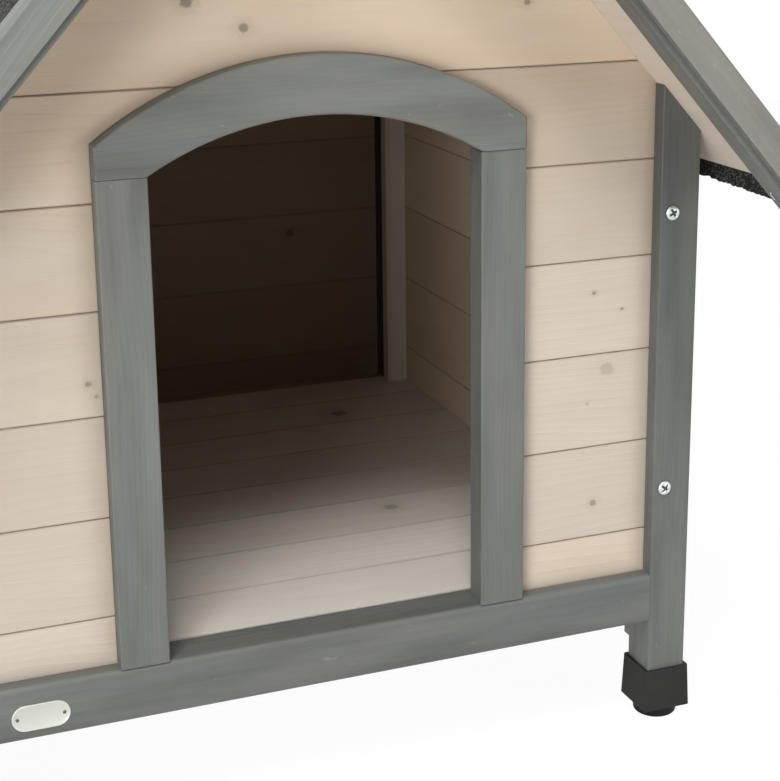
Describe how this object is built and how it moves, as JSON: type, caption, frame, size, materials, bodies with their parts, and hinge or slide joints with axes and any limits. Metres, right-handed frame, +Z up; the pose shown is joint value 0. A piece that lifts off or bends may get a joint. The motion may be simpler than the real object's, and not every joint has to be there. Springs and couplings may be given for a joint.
{
  "type": "dog house",
  "caption": "Gabled wooden dog house on adjustable feet, with tongued board walls, an arched doorway and a felted saddle roof whose right half swings up.",
  "frame": {"origin": "centre of the footprint, on the ground under the round feet", "axes": "+Z up, +Y from the doorway to the back wall, +X to the right as seen from the front; the ridge runs along Y"},
  "size_m": [0.7968, 0.872, 0.9759],
  "materials": {
    "grey_trim": "grey stain over solid timber, matt",
    "wall_boards": "light brown glaze over knotty pine, matt",
    "floor_boards": "light brown glaze over pine, matt",
    "battens": "bare planed pine",
    "roof_boards": "bare planed pine",
    "dark_strip": "dark stained strip",
    "felt": "mineral-faced bitumen roofing felt",
    "foot_cap": "black moulded plastic, satin",
    "glide": "black moulded plastic, matt",
    "steel": "zinc-plated steel"
  },
  "bodies": {
    "house": {"arch_head": "grey_trim", "back_boards": "wall_boards", "back_left_barge": "grey_trim", "back_left_batten": "battens", "back_left_foot_cap": "foot_cap", "back_left_gable_batten": "battens", "back_left_post": "grey_trim", "back_rail": "grey_trim", "back_right_batten": "battens", "back_right_foot_cap": "foot_cap", "back_right_gable_batten": "battens", "back_right_post": "grey_trim", "back_screws": "steel", "corner_seals": "dark_strip", "floor_bearers": "battens", "floor_boards": "floor_boards", "front_gable_boards": "wall_boards", "front_left_barge": "grey_trim", "front_left_batten": "battens", "front_left_boards": "wall_boards", "front_left_foot_cap": "foot_cap", "front_left_gable_batten": "battens", "front_left_post": "grey_trim", "front_rail": "grey_trim", "front_right_batten": "battens", "front_right_boards": "wall_boards", "front_right_foot_cap": "foot_cap", "front_right_gable_batten": "battens", "front_right_post": "grey_trim", "front_screws": "steel", "hinge_pins": "steel", "left_boards": "wall_boards", "left_door_batten": "battens", "left_eave_rail": "battens", "left_felt": "felt", "left_hinge_leaves": "steel", "left_jamb": "grey_trim", "left_rail": "grey_trim", "left_ridge_strip": "felt", "left_roof_boards": "roof_boards", "left_roof_edge_battens": "grey_trim", "left_roof_inner_battens": "battens", "leg_cleats": "grey_trim", "right_boards": "wall_boards", "right_door_batten": "battens", "right_eave_rail": "battens", "right_jamb": "grey_trim", "right_rail": "grey_trim"},
    "right_roof": {"right_roof_boards": "roof_boards", "right_roof_edge_battens": "grey_trim", "right_roof_inner_battens": "battens", "right_felt": "felt", "right_ridge_strip": "felt", "front_right_barge": "grey_trim", "back_right_barge": "grey_trim", "right_hinge_leaves": "steel"},
    "back_left_glide": {"back_left_glide": "glide"},
    "back_right_glide": {"back_right_glide": "glide"},
    "front_left_glide": {"front_left_glide": "glide"},
    "front_right_glide": {"front_right_glide": "glide"}
  },
  "joints": [
    {"name": "right_roof_hinge", "type": "hinge", "parent": "house", "child": "right_roof", "pos_m": [0, 0, 0.97089], "axis": [0, -1, 0], "range_deg": [0, 70]},
    {"name": "back_left_glide_screw", "type": "slide", "parent": "house", "child": "back_left_glide", "axis": [0, 0, -1], "range_m": [0, 0.02]},
    {"name": "back_right_glide_screw", "type": "slide", "parent": "house", "child": "back_right_glide", "axis": [0, 0, -1], "range_m": [0, 0.02]},
    {"name": "front_left_glide_screw", "type": "slide", "parent": "house", "child": "front_left_glide", "axis": [0, 0, -1], "range_m": [0, 0.02]},
    {"name": "front_right_glide_screw", "type": "slide", "parent": "house", "child": "front_right_glide", "axis": [0, 0, -1], "range_m": [0, 0.02]}
  ]
}
